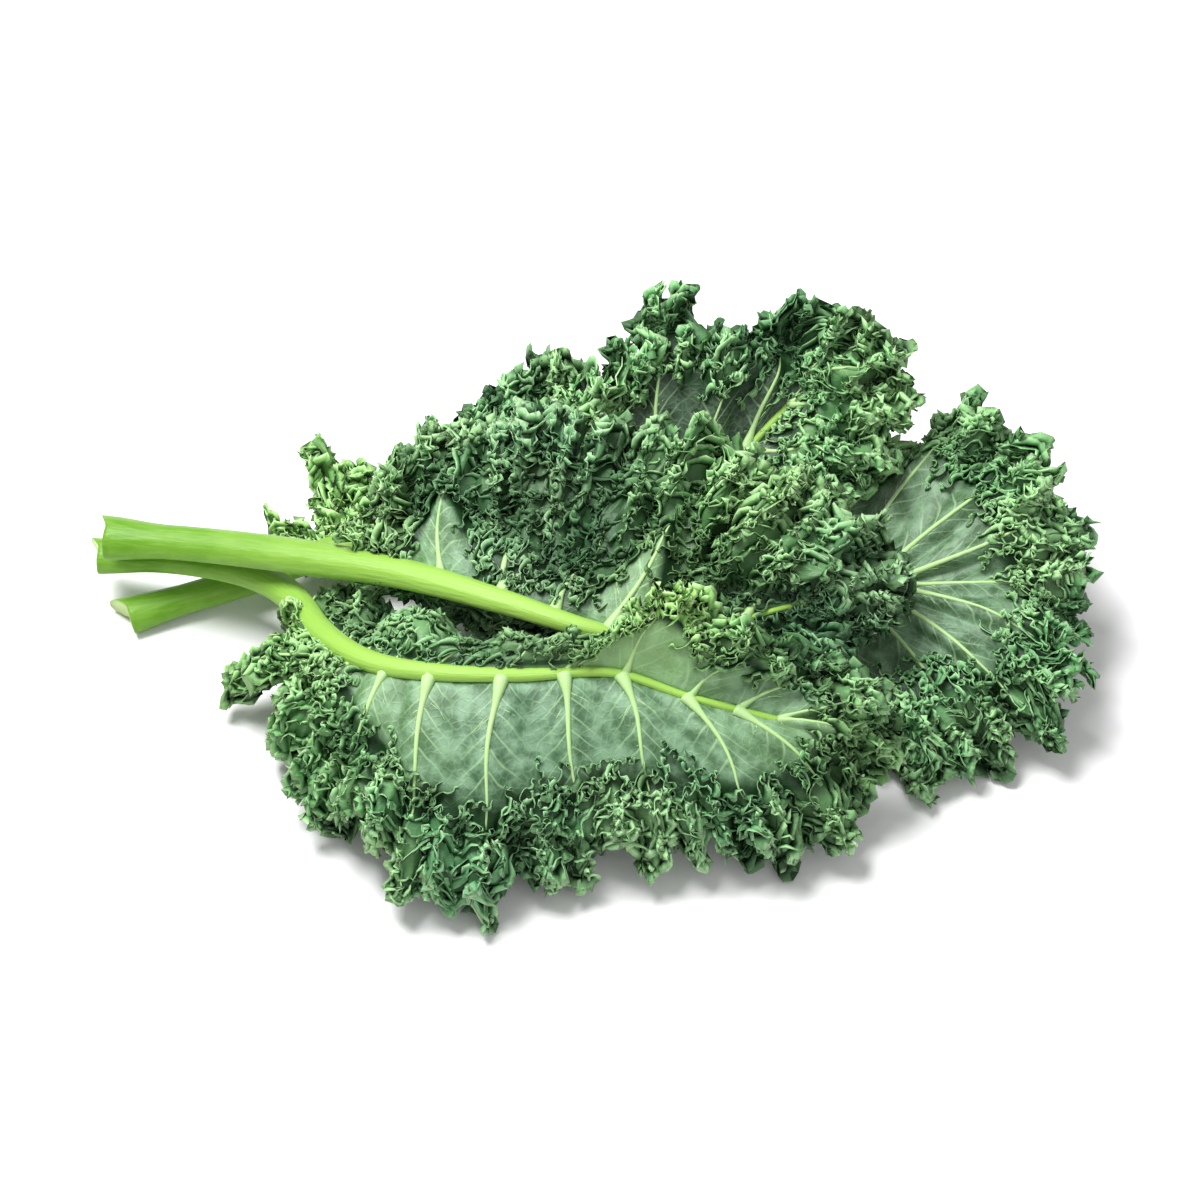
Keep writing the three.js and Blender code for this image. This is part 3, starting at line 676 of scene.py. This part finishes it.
def leafFinish(name):
    material, tree, shader = newMaterial("leaf " + name)
    link = tree.links.new
    coords = addNode(tree, "ShaderNodeTexCoord", (-1600, 0))
    curl = addNode(tree, "ShaderNodeAttribute", (-1600, 300), attribute_name="curl")
    edge = addNode(tree, "ShaderNodeAttribute", (-1600, 500), attribute_name="edge")
    place = addNode(tree, "ShaderNodeAttribute", (-1600, -300), attribute_name="leafPlace")
    young = addNode(tree, "ShaderNodeAttribute", (-1600, 700), attribute_name="young")
    veins = addNode(tree, "ShaderNodeGroup", (-1300, -300))
    veins.node_tree = veinGroup
    link(place.outputs["Vector"], veins.inputs["Place"])
    link(coords.outputs["Object"], veins.inputs["Point"])
    patches = addNode(tree, "ShaderNodeTexNoise", (-1300, 0), Scale=leafSurface["patchScale"], Detail=4.0)
    clouds = addNode(tree, "ShaderNodeTexNoise", (-1300, -150), Scale=leafSurface["cloudScale"], Detail=5.0)
    link(coords.outputs["Object"], patches.inputs["Vector"])
    link(coords.outputs["Object"], clouds.inputs["Vector"])
    patch = rangeNode(tree, (-1000, 0), patches.outputs[0], *leafSurface["patch"])
    cloud = rangeNode(tree, (-1000, -150), clouds.outputs[0], *leafSurface["cloud"])
    rim = rangeNode(tree, (-1000, 500), edge.outputs["Fac"], *leafSurface["rim"])
    leaf = name.split()[0]
    # Painted shade darkens the flat parts of the leaves that lie in shade; painted light lightens the curls of
    # some leaves.
    paintedLightLevel, curlLightTone = leafShadeTones.get(leaf, 1), curlLightTones.get(leaf, 1)
    curled = mixColour(tree, (-700, 0), patch, toned("curlDark", curlLightTone), toned("curl", curlLightTone))
    flat = mixColour(tree, (-700, 200), cloud, toned("bloomDark", paintedLightLevel), toned("bloom", paintedLightLevel))
    fresh = mathNode(tree, (-1000, 700), "MULTIPLY", young.outputs["Fac"], 0.8)
    pale = mathNode(tree, (-1000, 850), "MULTIPLY", young.outputs["Fac"], 0.8 * paintedLightLevel ** 3)
    curled = mixColour(tree, (-600, 0), fresh, curled, leafColours["young"])
    flat = mixColour(tree, (-600, 350), pale, flat, leafColours["youngFlat"])
    net = mathNode(tree, (-900, -500), "MULTIPLY", veins.outputs["Net"], leafSurface["net"])
    flat = mixColour(tree, (-550, 200), net, flat, leafColours["vein"])
    branch = mathNode(tree, (-900, -350), "MULTIPLY", veins.outputs["Branches"], leafSurface["branches"])
    flat = mixColour(tree, (-400, 200), branch, flat, leafColours["vein"])
    # Painted shade: where "curl" is low, in hollows and at frill roots, the curls take the darkest green;
    # leaves with lighter painted curls get less of it.
    low, high = leafSurface["hollow"]
    height = rangeNode(tree, (-1000, 300), curl.outputs["Fac"], low, high / curlLightTone ** 0.4)
    curled = mixColour(tree, (-450, 0), height, leafColours["paintedShade"], curled)
    past = rangeNode(tree, (-800, 300), curl.outputs["Fac"], *leafSurface["past"])
    body = mixColour(tree, (-250, 100), past, flat, curled)
    # Rims: the margin's own paler green, with painted light for light shining through the thin edges, dimmed by
    # painted shade in hollows.
    margin = mixColour(tree, (-400, 500), fresh, leafColours["edge"], leafColours["youngEdge"])
    edged = mixColour(tree, (-100, 200), rim, body, margin)
    link(edged, shader.inputs["Base Color"])
    relief = mathNode(tree, (-600, -400), "MAXIMUM", veins.outputs["Net"], veins.outputs["Branches"])
    finishSurface(tree, shader, relief, leafSurface)
    return material


stalkColours = {
    "green": (0.1, 0.27, 0.006, 1), "pale": (0.3, 0.52, 0.085, 1), "cut": (0.42, 0.56, 0.22, 1),
    "light": (0.36, 0.6, 0.13, 1), "vein": (0.42, 0.63, 0.27, 1),
}
stalkSurface = {"roughness": 0.42, "specular": 0.28, "bump": 0.22, "bumpDistance": 0.0006, "streaks": 0.16}


def stalkFinish(name):
    material, tree, shader = newMaterial("stalk " + name)
    link = tree.links.new
    coords = addNode(tree, "ShaderNodeTexCoord", (-1600, 0))
    travel = addNode(tree, "ShaderNodeAttribute", (-1600, 300), attribute_name="travel")
    around = addNode(tree, "ShaderNodeAttribute", (-1600, 500), attribute_name="around")
    age = rangeNode(tree, (-1100, 300), travel.outputs["Fac"], 5.0, 170.0)
    patches = addNode(tree, "ShaderNodeTexNoise", (-1300, 0), Scale=70.0, Detail=5.0)
    link(coords.outputs["Object"], patches.inputs["Vector"])
    fibre = addNode(tree, "ShaderNodeCombineXYZ", (-1300, 450))
    link(mathNode(tree, (-1450, 500), "MULTIPLY", around.outputs["Fac"], 2.2), fibre.inputs[0])
    link(mathNode(tree, (-1450, 350), "MULTIPLY", travel.outputs["Fac"], 0.03), fibre.inputs[1])
    streaks = addNode(tree, "ShaderNodeTexNoise", (-1100, 450), Scale=3.0, Detail=5.0)
    link(fibre.outputs[0], streaks.inputs["Vector"])
    streak = rangeNode(tree, (-900, 450), streaks.outputs[0], 0.35, 0.7)
    patch = rangeNode(tree, (-900, 0), patches.outputs[0], 0.35, 0.7, 0.0, 0.22)
    base = mixColour(tree, (-700, 200), age, stalkColours["green"], stalkColours["pale"])
    base = mixColour(tree, (-550, 150), patch, base, stalkColours["pale"])
    line = mathNode(tree, (-600, 400), "MULTIPLY", streak, stalkSurface["streaks"])
    base = mixColour(tree, (-400, 100), line, base, stalkColours["light"])
    cut = rangeNode(tree, (-700, 600), travel.outputs["Fac"], -0.5, 0.4, 1.0, 0.0)
    veinTravel = stalkSettings["veinTravel"]
    sideVein = rangeNode(tree, (-700, 800), travel.outputs["Fac"], veinTravel - 100, veinTravel)
    base = mixColour(tree, (-300, 100), sideVein, base, stalkColours["vein"])
    link(mixColour(tree, (-250, 200), cut, base, stalkColours["cut"]), shader.inputs["Base Color"])
    finishSurface(tree, shader, mathNode(tree, (-400, -300), "ADD", streak, patch), stalkSurface)
    return material


studioSettings = {
    "floorSize": 6, "floorColour": (0.9, 0.9, 0.9, 1), "floorRoughness": 0.9,
    "worldColour": (1, 1, 1, 1), "worldStrength": 0.42,
    # name, place in metres, size, energy
    "lights": [("key", (-0.5, 0.35, 1.5), 0.8, 39), ("fill", (0.7, -1.2, 1.3), 1.6, 7)],
}


def makeStudio(settings):
    bpy.ops.mesh.primitive_plane_add(size=settings["floorSize"])
    floor = bpy.context.object
    floor.name = "floor"
    material, _, shader = newMaterial("floor")
    shader.inputs["Base Color"].default_value = settings["floorColour"]
    shader.inputs["Roughness"].default_value = settings["floorRoughness"]
    floor.data.materials.append(material)
    for name, place, size, energy in settings["lights"]:
        bpy.ops.object.light_add(type="AREA", location=place)
        light = bpy.context.object
        light.name = name
        light.data.size = size
        light.data.energy = energy
        x, y, z = place  # the light is turned to the origin
        light.rotation_euler = (math.atan2(math.hypot(x, y), z), 0, math.atan2(x, -y))
    world = bpy.data.worlds.new("studio")
    bpy.context.scene.world = world
    world.use_nodes = True
    background = world.node_tree.nodes["Background"]
    background.inputs[0].default_value = settings["worldColour"]
    background.inputs[1].default_value = settings["worldStrength"]
    bpy.context.scene.view_settings.view_transform = "Standard"
    print("studio ready")


cameraSettings = {  # in metres, and the lens and sensor in millimetres
    "elevation": 50, "distance": 1.3, "lens": 104, "sensor": 36, "target": (0.004, 0.0093, 0.035),
}


def makeCamera(settings):
    tilt = math.radians(settings["elevation"])
    away = np.array([0, -math.cos(tilt), math.sin(tilt)]) * settings["distance"]
    bpy.ops.object.camera_add(location=tuple(np.array(settings["target"]) + away))
    camera = bpy.context.object
    camera.rotation_euler = (math.pi / 2 - tilt, 0, 0)
    camera.data.lens = settings["lens"]
    camera.data.sensor_width = settings["sensor"]
    bpy.context.scene.camera = camera


bpy.ops.object.select_all(action="DESELECT")
makeCamera(cameraSettings)
makeStudio(studioSettings)
for leafName, leafForm in leafForms.items():
    sheet = makeBlade(leafName, leafForm, bladeSettings)
    makeFrills(leafName, leafForm, sheet, frillSettings)
    makeStalk(leafName, leafForm, stalkSettings, sheet)
